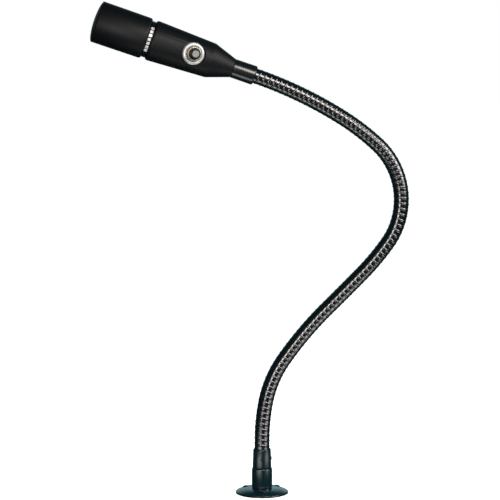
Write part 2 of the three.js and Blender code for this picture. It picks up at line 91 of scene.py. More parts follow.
# Stretches of the hose's line, each with its length and how many degrees it turns.
BENDS = [
    (8, 0), (36.5, -11), (43, -24), (63, -10.5), (45, 1),
    (37.5, 9.5), (16.5, 14.5), (83, 68), (41.5, 10.5), (88.5, 13),
]
HOSE_LENGTH = sum(length for length, turn in BENDS)
HINGES = 12
FIRST_HINGE = 27
HINGE_SPACING = (HOSE_LENGTH - 2 * FIRST_HINGE) / (HINGES - 1)

NECK_LENGTH = 21.2
NECK_REAR_RADIUS = 8.85
NECK_FRONT_RADIUS = 8.75
NECK_SPIGOT_RADIUS = 6.6
NECK_SPIGOT_TIP = 28
CONE_FRONT = 42.9
CONE_FRONT_RADIUS = 16.15
BODY_FRONT = 100.1
BODY_FRONT_RADIUS = 18.65
BODY_WALL = 2
CAP_REAR = 104.2
CAP_REAR_RADIUS = 18.95
CAP_FRONT = 151.1
CAP_FRONT_RADIUS = 19.2
CAP_BORE = 17.2
SHOULDER = 2.6
SHOULDER_FOOT_RADIUS = 17.35
BAND_RADIUS = 17.2
SPIGOT_RADIUS = 15.3
SPIGOT_BORE = 13.7
SPIGOT_REAR = 87
DOME_RISE = 3.5
GRILLE_RADIUS = CAP_BORE - GAP
GRILLE_SHEET = 1

SWITCH_PLACE = 63.1
SWITCH_LEAN = 9
SWITCH_TURN = 3
SEAT_HEIGHT = 15.8
BEZEL_RADIUS = 10.2
BEZEL_TOP = 19.1
BEZEL_CROWN_RADIUS = 7.7
BUSHING_RADIUS = 6.6
BUSHING_TOP = 22.6
BUSHING_FOOT = 3
BUSHING_BORE = 5.2
BUSHING_STEP = 10
BUSHING_COUNTERBORE = 6.3
COLLAR_RADIUS = 8.2
COLLAR_TOP = 11.4
PLUNGER_RADIUS = 4.9
PLUNGER_COLLAR_RADIUS = 5.9
PLUNGER_FOOT = 7.6
PLUNGER_TOP = 27.6

# Details that only the looks have, in millimetres: thread pitches, and the grey pad on the button.
THREAD_PITCH = 0.75
WOOD_PITCH = 1.8
STEM_PITCH = 0.94
PAD_RADIUS = 3.2

# The hose's winding. Its round wire takes up RIDGE_SHARE of the pitch on either side of its own middle.
# The flat wire lies lower, by FLAT_DROP, and sinks a little more at the seam.
HOSE_PITCH = 5.06
RIDGE_SHARE = 0.19
RIDGE_RISE = 0.5
FLAT_DROP = 0.28
SEAM_DROP = 0.12
SEAM_SHARE = 0.12

# How finely meshes are cut, and the angles in degrees above which an edge between two faces stays hard.
ROUND = 128
FINE = 192
HARD_ABOVE = 35
STRIP_HARD_ABOVE = 40
THREAD_HARD_ABOVE = 60
# A rounded corner takes up at most this share of the sides next to it.
CORNER_SHARE = 0.48
# The spacing of the rings along a bent bore.
BORE_STEP = 1.5


# ------------------------------------------------------------------ the hose's line and the head's frame


def hose_at(arc):
    """The hose's centre line at this distance from the lower ferrule: (x, z, angle above +X)."""
    x, z, angle = 0.0, FERRULE_TOP, math.pi / 2
    if arc < 0:
        return x, z + arc, angle
    left = arc
    for length, turn in BENDS:
        run = min(left, length)
        swing = math.radians(turn) * run / length
        chord = run if swing == 0 else run * math.sin(swing / 2) / (swing / 2)
        x += chord * math.cos(angle + swing / 2)
        z += chord * math.sin(angle + swing / 2)
        angle += swing
        left -= run
        if left <= 0:
            return x, z, angle
    return x + left * math.cos(angle), z + left * math.sin(angle), angle


def hose_point(arc):
    x, z, _ = hose_at(arc)
    return Vector((x, 0, z)) * MM


def hinge_arc(index):
    return FIRST_HINGE + HINGE_SPACING * index


NECK_X, NECK_Z, NECK_ANGLE = hose_at(HOSE_LENGTH)
HEAD = (
    Matrix.Translation((NECK_X * MM, 0, NECK_Z * MM))
    @ Matrix.Rotation(math.pi / 2 - NECK_ANGLE, 4, "Y")
)
IN_HEAD = (
    Matrix.Translation((0, 0, SWITCH_PLACE * MM))
    @ Matrix.Rotation(math.radians(SWITCH_TURN), 4, "Z")
    @ Matrix.Rotation(math.radians(90 + SWITCH_LEAN), 4, "X")
)
SWITCH = HEAD @ IN_HEAD
BASE = Matrix.Identity(4)


# ------------------------------------------------------------------ mesh helpers


def add_object(name, verts, faces, materials, place=BASE, hard_above=HARD_ABOVE, edge_wear=None):
    """A mesh object from millimetre vertices, smooth except where two faces meet at a steep angle."""
    mesh = bpy.data.meshes.new(name)
    mesh.from_pydata([tuple(c * MM for c in v) for v in verts], [], faces)
    mesh.validate()
    if edge_wear is not None:
        attribute = mesh.attributes.new("edge_wear", "FLOAT", "POINT")
        attribute.data.foreach_set("value", edge_wear)
    mesh.transform(place)
    obj = bpy.data.objects.new(name, mesh)
    bpy.context.scene.collection.objects.link(obj)
    for material in materials:
        mesh.materials.append(material)
    shade(obj, hard_above)
    return obj


def shade(obj, hard_above=HARD_ABOVE):
    """Smooth shading, with hard edges where faces meet at more than this many degrees."""
    bm = bmesh.new()
    bm.from_mesh(obj.data)
    bmesh.ops.recalc_face_normals(bm, faces=bm.faces)
    limit = math.radians(hard_above)
    for face in bm.faces:
        face.smooth = True
    for edge in bm.edges:
        edge.smooth = len(edge.link_faces) == 2 and edge.calc_face_angle(0) < limit
    bm.to_mesh(obj.data)
    bm.free()
    obj.data.update()


def eased(points, closed=False, steps=4):
    """Rounds the corners of an outline. Each point is (radius, height) or (radius, height, rounding).
    Returns the points and, for each, 1 on a rounded corner and 0 elsewhere."""
    outline, wear = [], []
    count = len(points)
    for i, point in enumerate(points):
        here = np.array(point[:2], float)
        rounding = point[2] if len(point) > 2 else 0
        if rounding == 0 or (not closed and i in (0, count - 1)):
            outline.append(tuple(here))
            wear.append(0.0)
            continue
        before = np.array(points[i - 1][:2], float) - here
        after = np.array(points[(i + 1) % count][:2], float) - here
        side_before, side_after = np.linalg.norm(before), np.linalg.norm(after)
        reach = min(rounding, CORNER_SHARE * side_before, CORNER_SHARE * side_after)
        start = here + before / side_before * reach
        end = here + after / side_after * reach
        for step in range(steps + 1):
            t = step / steps
            outline.append(tuple((1 - t) ** 2 * start + 2 * t * (1 - t) * here + t * t * end))
            wear.append(math.sin(math.pi * t))
    return outline, wear


def lathe(name, points, materials, place=BASE, closed=False, sides=ROUND):
    """A turned piece about +Z. An open outline starts and ends on the axis; a closed one is a ring."""
    outline, wear = eased(points, closed)
    verts, faces, edge_wear, rings = [], [], [], []
    for (radius, height), worn in zip(outline, wear):
        first = len(verts)
        on_axis = radius < 1e-6
        count = 1 if on_axis else sides
        for k in range(count):
            angle = 2 * math.pi * k / sides
            verts.append((radius * math.cos(angle), radius * math.sin(angle), height))
            edge_wear.append(worn)
        rings.append((first, count))
    pairs = list(zip(rings, rings[1:]))
    if closed:
        pairs.append((rings[-1], rings[0]))
    for (a, na), (b, nb) in pairs:
        for k in range(sides):
            n = (k + 1) % sides
            if na == 1 and nb == 1:
                continue
            if na == 1:
                faces.append((a, b + n, b + k))
            elif nb == 1:
                faces.append((a + k, a + n, b))
            else:
                faces.append((a + k, a + n, b + n, b + k))
    return add_object(name, verts, faces, materials, place, edge_wear=edge_wear)


def wound(
    name, radius_at, low, high, pitch, per_turn, sides, materials, place=BASE, inner=0, bend=False
):
    """A closed tube about +Z with a plain bore. Its outer wall's radius is radius_at(height, turn).
    Its rows of points follow a helix of this pitch. With bend, heights run along the hose's line."""
    step = pitch / per_turn
    start = math.floor(low / step)
    verts, groove, columns = [], [], []

    def centre_at(height):
        return hose_at(height) if bend else (0, height, math.pi / 2)

    for k in range(sides + 1):
        slide = per_turn * k / sides
        first = math.floor(low / step - start + slide)
        last = math.ceil(high / step - start + slide)
        if k == sides:
            columns.append((first, last, 0))
            continue
        columns.append((first, last, len(verts)))
        for i in range(first, last + 1):
            height = min(max((start + i - slide) * step, low), high)
            radius = radius_at(height, k / sides)
            verts.append(carried(centre_at(height), radius, k / sides))
            groove.append(radius)

    def at(row, k):
        first, last, offset = columns[k]
        return offset + min(max(row, first), last) - first

    faces = []
    for k in range(sides):
        (first, last, _), (next_first, next_last, _) = columns[k], columns[k + 1]
        for row in range(min(first, next_first), max(last, next_last)):
            corners = [at(row, k), at(row, k + 1), at(row + 1, k + 1), at(row + 1, k)]
            kept = [c for c, before in zip(corners, corners[-1:] + corners[:-1]) if c != before]
            if len(kept) > 2:
                faces.append(tuple(kept))
    foot = [at(columns[k][0], k) for k in range(sides)]
    head = [at(columns[k][1], k) for k in range(sides)]
    if inner > 0:
        rings = max(2, int(round((high - low) / BORE_STEP))) if bend else 2
        offset = len(verts)
        for height in np.linspace(low, high, rings):
            verts.extend(carried(centre_at(height), inner, k / sides) for k in range(sides))
            groove.extend([inner] * sides)
        faces += wall(offset, rings, sides, True)
        last_ring = offset + (rings - 1) * sides
        for k in range(sides):
            n = (k + 1) % sides
            faces.append((foot[k], offset + k, offset + n, foot[n]))
            faces.append((head[n], last_ring + n, last_ring + k, head[k]))
    else:
        faces.append(tuple(reversed(foot)))
        faces.append(tuple(head))
    peak = max(groove)
    obj = add_object(name, verts, faces, materials, place, THREAD_HARD_ABOVE)
    attribute = obj.data.attributes.new("groove_depth", "FLOAT", "POINT")
    attribute.data.foreach_set("value", [peak - value for value in groove])
    return obj


def wall(first, rings, sides, flipped):
    """The faces between these rings of points, which are numbered from first."""
    faces = []
    for j in range(rings - 1):
        for k in range(sides):
            n = (k + 1) % sides
            a, b = first + j * sides, first + (j + 1) * sides
            quad = (a + k, a + n, b + n, b + k)
            faces.append(tuple(reversed(quad)) if flipped else quad)
    return faces


def carried(centre, radius, turn):
    """A point at this radius and turn round a hose centre (x, z, angle)."""
    x, z, angle = centre
    across = radius * math.cos(2 * math.pi * turn)
    aside = radius * math.sin(2 * math.pi * turn)
    return (x + across * math.sin(angle), aside, z - across * math.cos(angle))


def cut(obj, cutters):
    """Takes the cutters away from obj, with exact booleans, and deletes them."""
    for cutter in cutters:
        modifier = obj.modifiers.new("cut", "BOOLEAN")
        modifier.operation = "DIFFERENCE"
        modifier.solver = "EXACT"
        modifier.object = cutter
    bpy.context.view_layer.update()
    graph = bpy.context.evaluated_depsgraph_get()
    made = bpy.data.meshes.new_from_object(obj.evaluated_get(graph))
    obj.modifiers.clear()
    obj.data = made
    for cutter in cutters:
        bpy.data.objects.remove(cutter)
    shade(obj)


def rod(name, radius, low, high, place=BASE, sides=64):
    return lathe(name, [(0, low), (radius, low), (radius, high), (0, high)], [], place, sides=sides)


def stand_for(obj, body, slot, *nodes):
    """Puts a finished piece on its body, in place of CAD nodes. Its slot argument is not used."""
    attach(obj, body)
    if nodes:
        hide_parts(*nodes)


# ------------------------------------------------------------------ materials


class Nodes:
    """A small helper for wiring one Principled material."""

    def __init__(self, name):
        self.material = bpy.data.materials.new(name)
        self.material.use_nodes = True
        self.tree = self.material.node_tree
        self.shader = self.tree.nodes["Principled BSDF"]
        self.coords = self.tree.nodes.new("ShaderNodeTexCoord")

    def set(self, **values):
        for key, value in values.items():
            self.shader.inputs[key.replace("_", " ")].default_value = value

    def noise(self, scale, detail=2.0, roughness=0.5):
        node = self.tree.nodes.new("ShaderNodeTexNoise")
        node.inputs["Scale"].default_value = scale
        node.inputs["Detail"].default_value = detail
        node.inputs["Roughness"].default_value = roughness
        self.tree.links.new(self.coords.outputs["Object"], node.inputs["Vector"])
        return node.outputs["Fac"]

    def spread(self, value, low, high, out_low, out_high):
        node = self.tree.nodes.new("ShaderNodeMapRange")
        node.inputs["From Min"].default_value = low
        node.inputs["From Max"].default_value = high
        node.inputs["To Min"].default_value = out_low
        node.inputs["To Max"].default_value = out_high
        self.tree.links.new(value, node.inputs["Value"])
        return node.outputs["Result"]

    def math(self, operation, a, b):
        node = self.tree.nodes.new("ShaderNodeMath")
        node.operation = operation
        for socket, value in zip(node.inputs, (a, b)):
            if isinstance(value, (int, float)):
                socket.default_value = value
            else:
                self.tree.links.new(value, socket)
        return node.outputs[0]

    def mix(self, factor, a, b):
        node = self.tree.nodes.new("ShaderNodeMix")
        node.data_type = "RGBA"
        self.tree.links.new(factor, node.inputs["Factor"])
        for key, value in (("A", a), ("B", b)):
            socket = [s for s in node.inputs if s.name == key and s.type == "RGBA"][0]
            if isinstance(value, tuple):
                socket.default_value = (*value, 1)
            else:
                self.tree.links.new(value, socket)
        return [s for s in node.outputs if s.type == "RGBA"][0]

    def attribute(self, name):
        node = self.tree.nodes.new("ShaderNodeAttribute")
        node.attribute_name = name
        return node.outputs["Fac"]

    def bump(self, height, strength, distance):
        node = self.tree.nodes.new("ShaderNodeBump")
        node.inputs["Strength"].default_value = strength
        node.inputs["Distance"].default_value = distance
        self.tree.links.new(height, node.inputs["Height"])
        self.tree.links.new(node.outputs["Normal"], self.shader.inputs["Normal"])

    def to(self, value, socket):
        self.tree.links.new(value, self.shader.inputs[socket])


def finish(
    name, dark, light, rough, metallic=0.0, grain=400, patch=60,
    bump=(3000, 0.1, 0.00002), wear=None, **extra
):
    """A finish with patchy colour, uneven roughness, a fine grain and, where asked, worn edges.
    bump is (scale, strength, distance in metres), wear is (colour, share), and extra sets the shader."""
    n = Nodes(name)
    n.set(Metallic=metallic, **extra)
    patches = n.noise(patch, 3, 0.6)
    fine = n.noise(grain, 4, 0.6)
    blend = n.math("ADD", n.math("MULTIPLY", patches, 0.6), n.math("MULTIPLY", fine, 0.4))
    colour = n.mix(n.spread(blend, 0.35, 0.65, 0, 1), dark, light)
    roughness = n.spread(fine, 0.3, 0.7, rough[0], rough[1])
    if wear:
        edge = n.spread(n.attribute("edge_wear"), 0.6, 1, 0, 1)
        rubbed = n.math("MULTIPLY", edge, n.spread(n.noise(700, 4, 0.7), 0.5, 0.7, 0, wear[1]))
        colour = n.mix(rubbed, colour, wear[0])
    n.to(colour, "Base Color")
    n.to(roughness, "Roughness")
    n.bump(n.noise(bump[0], 3, 0.6), bump[1], bump[2])
    return n.material


def gloss_black():
    return finish("gloss_black_enamel", (0.0022, 0.012, 0.016), (0.0035, 0.017, 0.022), (0.18, 0.24),
                  bump=(500, 0.04, 0.00001), wear=((0.09, 0.1, 0.105), 0.4),
                  Coat_Weight=0.5, Coat_Roughness=0.16)


def hose_black():
    """Glossy black wire, with duller dust where the winding sinks."""
    n = Nodes("hose_black_enamel")
    depth = n.spread(n.attribute("groove_depth"), 0.55, 1.0, 0, 1)
    dust = n.math("MULTIPLY", depth, n.spread(n.noise(500, 4, 0.7), 0.35, 0.7, 0.3, 0.9))
    patches = n.spread(n.noise(120, 3, 0.6), 0.35, 0.65, 0, 1)
    base = n.mix(patches, (0.001, 0.0016, 0.0024), (0.002, 0.0028, 0.004))
    n.to(n.mix(dust, base, (0.003, 0.003, 0.003)), "Base Color")
    uneven = n.spread(n.noise(300, 3, 0.6), 0.3, 0.7, 0.16, 0.21)
    n.to(n.math("ADD", uneven, n.math("MULTIPLY", dust, 0.15)), "Roughness")
    n.bump(n.noise(300, 2, 0.5), 0.05, 0.00001)
    n.set(Specular_IOR_Level=0.8, Coat_Weight=1.0, Coat_Roughness=0.2)
    return n.material


def satin_black():
    return finish("satin_black_enamel", (0.0025, 0.0045, 0.005), (0.004, 0.0065, 0.0075), (0.24, 0.28),
                  bump=(300, 0.03, 0.000005), Coat_Weight=0.5, Coat_Roughness=0.22)


def matte_black():
    return finish("matte_black_coat", (0.0015, 0.0022, 0.003), (0.0022, 0.0032, 0.004), (0.44, 0.54),
                  grain=900, patch=45, bump=(4200, 0.3, 0.00003), wear=((0.03, 0.03, 0.035), 0.35),
                  Specular_IOR_Level=0.22)


def grille_black():
    return finish("grille_black_coat", (0.004, 0.0045, 0.0055), (0.006, 0.0065, 0.0075), (0.45, 0.6),
                  grain=900, bump=(4000, 0.3, 0.00003), wear=((0.05, 0.05, 0.05), 0.3))


def bright_nickel():
    return finish("bright_nickel_plate", (0.64, 0.68, 0.67), (0.74, 0.78, 0.77), (0.3, 0.38),
                  metallic=0.55, grain=1500, bump=(5000, 0.05, 0.00001))


def trim_nickel():
    return finish("trim_nickel_plate", (0.62, 0.62, 0.6), (0.78, 0.78, 0.76), (0.3, 0.42),
                  metallic=0.4, grain=1500, bump=(5000, 0.05, 0.000005))


def plunger_grey():
    return finish("plunger_grey_plastic", (0.19, 0.2, 0.21), (0.25, 0.26, 0.27), (0.45, 0.55),
                  grain=1200, bump=(3500, 0.12, 0.00002), wear=((0.35, 0.35, 0.36), 0.5))


def plated_steel():
    return finish("plated_steel", (0.42, 0.42, 0.41), (0.56, 0.56, 0.54), (0.25, 0.42),
                  metallic=1.0, grain=1500)


def button_black():
    return finish("button_black_plastic", (0.001, 0.001, 0.0012), (0.002, 0.002, 0.0024), (0.3, 0.4),
                  bump=(3000, 0.1, 0.00002), wear=((0.02, 0.02, 0.02), 0.3), Specular_IOR_Level=0.3)


def barrel_nickel():
    return finish("barrel_nickel_plate", (0.42, 0.37, 0.29), (0.56, 0.49, 0.39), (0.3, 0.42),
                  metallic=0.6, grain=1500, bump=(5000, 0.05, 0.00001))


def jacket_rubber():
    return finish("lead_jacket_rubber", (0.012, 0.012, 0.012), (0.02, 0.02, 0.02), (0.5, 0.65))


# For each slot of the hidden parts: dark colour, light colour, roughness from and to, and metallic.
INNER_FINISHES = {
    "case_plastic": ((0.02, 0.02, 0.024), (0.03, 0.03, 0.035), (0.4, 0.55), 0.0),
    "foam": ((0.012, 0.012, 0.014), (0.03, 0.03, 0.033), (0.9, 1.0), 0.0),
    "cast_alloy": ((0.45, 0.46, 0.47), (0.6, 0.61, 0.62), (0.35, 0.55), 1.0),
    "diaphragm_film": ((0.5, 0.45, 0.32), (0.62, 0.57, 0.42), (0.15, 0.25), 0.0),
    "copper_winding": ((0.45, 0.19, 0.07), (0.6, 0.28, 0.12), (0.25, 0.4), 1.0),
    "ferrite": ((0.04, 0.04, 0.042), (0.06, 0.06, 0.062), (0.6, 0.8), 0.0),
    "rubber_ring": ((0.01, 0.01, 0.01), (0.02, 0.02, 0.02), (0.7, 0.85), 0.0),
    "terminal_board": ((0.03, 0.11, 0.06), (0.05, 0.16, 0.09), (0.35, 0.5), 0.0),
}


def finish_inner_nodes():
    """Procedural finishes for the CAD pieces that stay, all of them inside."""
    slots = {s["node"]: s["material_slot"] for s in frame["record"]["subparts"]}
    made = {"bright_nickel": NICKEL, "plated_steel": STEEL}
    for node, obj in frame["nodes"].items():
        if obj.hide_render:
            continue
        slot = slots[node]
        if slot not in made:
            dark, light, rough, metallic = INNER_FINISHES[slot]
            bump = (1800, 0.8, 0.0003) if slot == "foam" else (3000, 0.2, 0.00003)
            made[slot] = finish(slot + "_finish", dark, light, rough, metallic, bump=bump)
        obj.data.materials.clear()
        obj.data.materials.append(made[slot])


# ------------------------------------------------------------------ camera, lights and floor


def make_camera():
    """Looks at the middle of the object from two metres away, 4 degrees to its left and 6.5 above."""
    scene = bpy.context.scene
    azimuth, elevation, distance = math.radians(-4), math.radians(6.5), 2.0
    target = Vector((-0.011255, -0.00059, 0.22783))
    level = math.cos(elevation)
    back = Vector((math.sin(azimuth) * level, -math.cos(azimuth) * level, math.sin(elevation)))
    data = bpy.data.cameras.new("camera")
    data.sensor_width = 36
    data.lens = 156.5
    camera = bpy.data.objects.new("camera", data)
    camera.location = target + back * distance
    camera.rotation_euler = (-back).to_track_quat("-Z", "Y").to_euler()
    scene.collection.objects.link(camera)
    scene.camera = camera


def make_stage():
    scene = bpy.context.scene
    scene.view_settings.view_transform = "Standard"
    make_camera()
    area_light("left_strip", (-0.54, -1.32, 0.4), (0, 0, 0.25), (0.34, 0.82), 9.5, (1, 0.93, 0.89), -28)
    area_light("upper_softbox", (0.42, -1.2, 0.98), (0.02, 0, 0.3), (0.7, 0.52), 13, (1, 0.92, 0.88), -40)
    area_light("right_softbox", (1.35, -0.75, 0.85), (0, 0, 0.25), (0.85, 0.95), 21, (1, 0.97, 0.95), 0)

    floor_radius = 8
    bm = bmesh.new()
    bmesh.ops.create_circle(bm, cap_ends=True, segments=96, radius=floor_radius)
    mesh = bpy.data.meshes.new("floor")
    bm.to_mesh(mesh)
    bm.free()
    floor = bpy.data.objects.new("floor", mesh)
    scene.collection.objects.link(floor)
    mesh.materials.append(floor_material())
    make_world()


def area_light(name, place, target, size, power, colour, roll):
    """A rectangular light of this size and power, aimed at target and rolled by this many degrees."""
    data = bpy.data.lights.new(name, "AREA")
    data.shape = "RECTANGLE"
    data.size, data.size_y = size
    data.energy = power
    data.color = colour
    light = bpy.data.objects.new(name, data)
    aim = (Vector(target) - Vector(place)).to_track_quat("-Z", "Y").to_matrix().to_4x4()
    light.matrix_world = Matrix.Translation(place) @ aim @ Matrix.Rotation(math.radians(roll), 4, "Z")
    bpy.context.scene.collection.objects.link(light)


def floor_material():
    """A pale floor to look at. For everything but the camera it glows instead, dim and blue-green, with
    two painted pools of brighter, warmer light; this glow is what the object reflects.
    """
    n = Nodes("pale_floor")
    patches = n.spread(n.noise(3, 2, 0.5), 0.3, 0.7, 0, 1)
    n.to(n.mix(patches, (0.9, 0.9, 0.9), (0.94, 0.94, 0.94)), "Base Color")
    n.set(Roughness=0.9, Emission_Color=(1, 1, 1, 1), Emission_Strength=1.0)
    dim = n.tree.nodes.new("ShaderNodeEmission")
    # Painted pools of light: round these two points the floor's glow grows brighter and warmer, for
    # everything but the camera.
    pools = []
    for x, y, reach in ((0.23, -0.15, 0.17), (-0.13, -0.18, 0.15)):
        offset = n.tree.nodes.new("ShaderNodeVectorMath")
        offset.operation = "DISTANCE"
        offset.inputs[1].default_value = (x, y, 0)
        n.tree.links.new(n.coords.outputs["Object"], offset.inputs[0])
        pools.append(n.spread(offset.outputs["Value"], 0.4 * reach, reach, 1, 0))
    pool_glow = n.math("ADD", *pools)
    n.tree.links.new(n.mix(pool_glow, (0.012, 0.034, 0.042), (1, 0.97, 0.95)), dim.inputs["Color"])
    n.tree.links.new(n.spread(pool_glow, 0, 1, 1, 3.2), dim.inputs["Strength"])
    path = n.tree.nodes.new("ShaderNodeLightPath")
    mix = n.tree.nodes.new("ShaderNodeMixShader")
    n.tree.links.new(path.outputs["Is Camera Ray"], mix.inputs["Fac"])
    n.tree.links.new(dim.outputs[0], mix.inputs[1])
    n.tree.links.new(n.shader.outputs[0], mix.inputs[2])
    n.tree.links.new(mix.outputs[0], n.tree.nodes["Material Output"].inputs["Surface"])
    return n.material


def make_world():
    """A white backdrop for the camera, and a dim blue-green room for everything else."""
    world = bpy.data.worlds.new("studio")
    bpy.context.scene.world = world
    world.use_nodes = True
    tree = world.node_tree
    room = tree.nodes["Background"]
    coords = tree.nodes.new("ShaderNodeTexCoord")
    split = tree.nodes.new("ShaderNodeSeparateXYZ")
    tree.links.new(coords.outputs["Generated"], split.inputs[0])
    behind = tree.nodes.new("ShaderNodeMapRange")
    behind.inputs["From Min"].default_value = 0.72
    behind.inputs["From Max"].default_value = 0.93
    tree.links.new(split.outputs["Y"], behind.inputs["Value"])
    tint = tree.nodes.new("ShaderNodeMix")
    tint.data_type = "RGBA"
    tree.links.new(behind.outputs["Result"], tint.inputs["Factor"])
    near, far = [i for i in tint.inputs if i.type == "RGBA"]
    near.default_value = (0.012, 0.036, 0.043, 1)
    far.default_value = (0.36, 0.56, 0.61, 1)
    tree.links.new([o for o in tint.outputs if o.type == "RGBA"][0], room.inputs["Color"])
    backdrop = tree.nodes.new("ShaderNodeBackground")
    backdrop.inputs["Color"].default_value = (1, 1, 1, 1)
    path = tree.nodes.new("ShaderNodeLightPath")
    mix = tree.nodes.new("ShaderNodeMixShader")
    tree.links.new(path.outputs["Is Camera Ray"], mix.inputs["Fac"])
    tree.links.new(room.outputs[0], mix.inputs[1])
    tree.links.new(backdrop.outputs[0], mix.inputs[2])
    tree.links.new(mix.outputs[0], tree.nodes["World Output"].inputs["Surface"])


# ------------------------------------------------------------------ base


def flange_top(radius):
    """The height of the flange's domed top at this radius."""
    share = max(0, (radius - BOSS_RADIUS)) / (FLANGE_RADIUS - FLANGE_EDGE - BOSS_RADIUS)
    return FLANGE_HEIGHT - (FLANGE_HEIGHT - FLANGE_RIM) * share * share


SCREW_TOP = flange_top(SCREW_CIRCLE)


def screw_places():
    for name, degrees in (("front", -90), ("right", 30), ("left", 150)):
        angle = math.radians(degrees)
        place = (SCREW_CIRCLE * math.cos(angle) * MM, SCREW_CIRCLE * math.sin(angle) * MM, 0)
        yield name, Matrix.Translation(place)


def make_flange():
    steps = 10
    outer = FLANGE_RADIUS - FLANGE_EDGE
    dome = []
    for i in range(steps + 1):
        radius = outer - (outer - BOSS_RADIUS - 0.5) * i / steps
        dome.append((radius, flange_top(radius), 0.4 if i == 0 else 0))
    points = [
        (THREAD_BORE, 0, 0.3),
        (FLANGE_RADIUS, 0, 0.35),
        (FLANGE_RADIUS, FLANGE_RIM - 0.5, 0.5),
        *dome,
        (THREAD_BORE, FLANGE_HEIGHT, 0.2),
    ]
    flange = lathe("flange", points, [GLOSS], closed=True, sides=FINE)
    hole = SCREW_SHANK + GAP
    mouth = SCREW_HEAD + GAP
    seat = SCREW_TOP - COUNTERSINK_DEPTH - GAP
    below, above = -1, 9
    outline = [
        (0, below),
        (hole, below),
        (hole, seat),
        (mouth, SCREW_TOP - GAP),
        (mouth, above),
        (0, above),
    ]
    cutters = []
    for name, place in screw_places():
        cutters.append(lathe("hole_" + name, outline, [], place, sides=64))
    cut(flange, cutters)
    stand_for(flange, "root", "gloss_black", "mounting_flange")


def make_wood_screws():
    """Raised countersunk heads with a cross recess, on threaded shanks that taper to a point."""
    crown = 0.8
    neck = SCREW_TOP - COUNTERSINK_DEPTH
    core, thread_rise, thread_share, point_length = SCREW_SHANK - 0.75, 0.7, 0.18, 5
    for name, place in screw_places():
        points = [
            (0, neck - 1),
            (SCREW_SHANK, neck - 1),
            (SCREW_SHANK, neck, 0.2),
            (SCREW_HEAD, SCREW_TOP - 0.2, 0.18),
            (SCREW_HEAD * 0.85, SCREW_TOP + crown * 0.35),
            (SCREW_HEAD * 0.6, SCREW_TOP + crown * 0.7),
            (SCREW_HEAD * 0.3, SCREW_TOP + crown * 0.93),
            (0, SCREW_TOP + crown),
        ]
        head = lathe("wood_screw_" + name, points, [GLOSS], place, sides=64)
        cutters = [recess_wing(place, turn, SCREW_TOP + crown) for turn in (0, 90)]
        cut(head, cutters)
        stand_for(head, "root", "black_screw", "flange_screw_" + name)

        def radius_at(height, turn):
            tip = min(1.0, (height + SCREW_LENGTH + 0.2) / point_length)
            phase = (height / WOOD_PITCH + turn) % 1.0
            ridge = max(0.0, 1 - abs(phase - 0.5) / thread_share)
            return max(0.05, tip * (core + thread_rise * ridge))

        shank = wound("wood_screw_thread_" + name, radius_at, -SCREW_LENGTH, neck - 0.9,
                      WOOD_PITCH, 9, 32, [GLOSS], place)
        stand_for(shank, "root", "black_screw")


def recess_wing(place, turn, top):
    """One tapered wing of a cross recess, as a cutter."""
    long, wide, deep = 1.9, 0.42, 1.5
    foot_share, mouth_share = 0.45, 1.3
    verts = []
    for height, share in ((top - deep, foot_share), (top + 1, mouth_share)):
        for x, y in ((-long, -wide), (long, -wide), (long, wide), (-long, wide)):
            verts.append((x * share, y * (0.6 + 0.4 * share), height))
    faces = [(3, 2, 1, 0), (4, 5, 6, 7), (0, 1, 5, 4), (1, 2, 6, 5), (2, 3, 7, 6), (3, 0, 4, 7)]
    turned = place @ Matrix.Rotation(math.radians(turn + 45), 4, "Z")
    return add_object("recess_wing", verts, faces, [], turned)


def make_coupler():
    low = FLANGE_HEIGHT + GAP
    points = [
        (THREAD_BORE, low, 0.2),
        (COUPLER_RADIUS - 0.35, low, 0.2),
        (COUPLER_RADIUS, low + 0.35, 0.25),
        (COUPLER_RADIUS, COUPLER_TOP - 0.55, 0.4),
        (COUPLER_RADIUS - 0.55, COUPLER_TOP, 0.4),
        (THREAD_BORE, COUPLER_TOP, 0.2),
    ]
    coupler = lathe("base_sleeve", points, [GLOSS], closed=True)
    stand_for(coupler, "root", "gloss_black", "base_coupler")


def make_lower_ferrule():
    foot = COUPLER_TOP + GAP
    socket = HOSE_RADIUS + SOCKET_GAP
    floor = FERRULE_TOP - HOSE_INSERT - GAP
    spigot = NIPPLE_TOP + 1.5
    points = [
        (PASSAGE_RADIUS, spigot, 0.2),
        (THREAD_RADIUS, spigot, 0.3),
        (THREAD_RADIUS, foot - 0.4),
        (FERRULE_FOOT_RADIUS - 0.3, foot, 0.15),
        (FERRULE_FOOT_RADIUS, foot + 0.4, 0.3),
        (FERRULE_TOP_RADIUS, FERRULE_TOP - 0.5, 0.4),
        (FERRULE_TOP_RADIUS - 0.5, FERRULE_TOP, 0.3),
        (socket, FERRULE_TOP, 0.1),
        (socket, floor),
        (PASSAGE_RADIUS, floor),
    ]
    ferrule = lathe("hose_foot_ferrule", points, [GLOSS], closed=True)
    inside, outside = 6, 12
    cutters = []
    for name, place in set_screw_places():
        cutters.append(rod("hole_" + name, SET_SCREW_RADIUS + GAP, inside, outside, place, 48))
    cut(ferrule, cutters)
    stand_for(ferrule, "root", "gloss_black", "lower_ferrule")


def set_screw_places():
    up = Matrix.Translation((0, 0, SET_SCREW_HEIGHT * MM))
    outwards = Matrix.Rotation(math.pi / 2, 4, "Y")
    for name, degrees in (("front", -90), ("right", 0)):
        yield name, up @ Matrix.Rotation(math.radians(degrees), 4, "Z") @ outwards


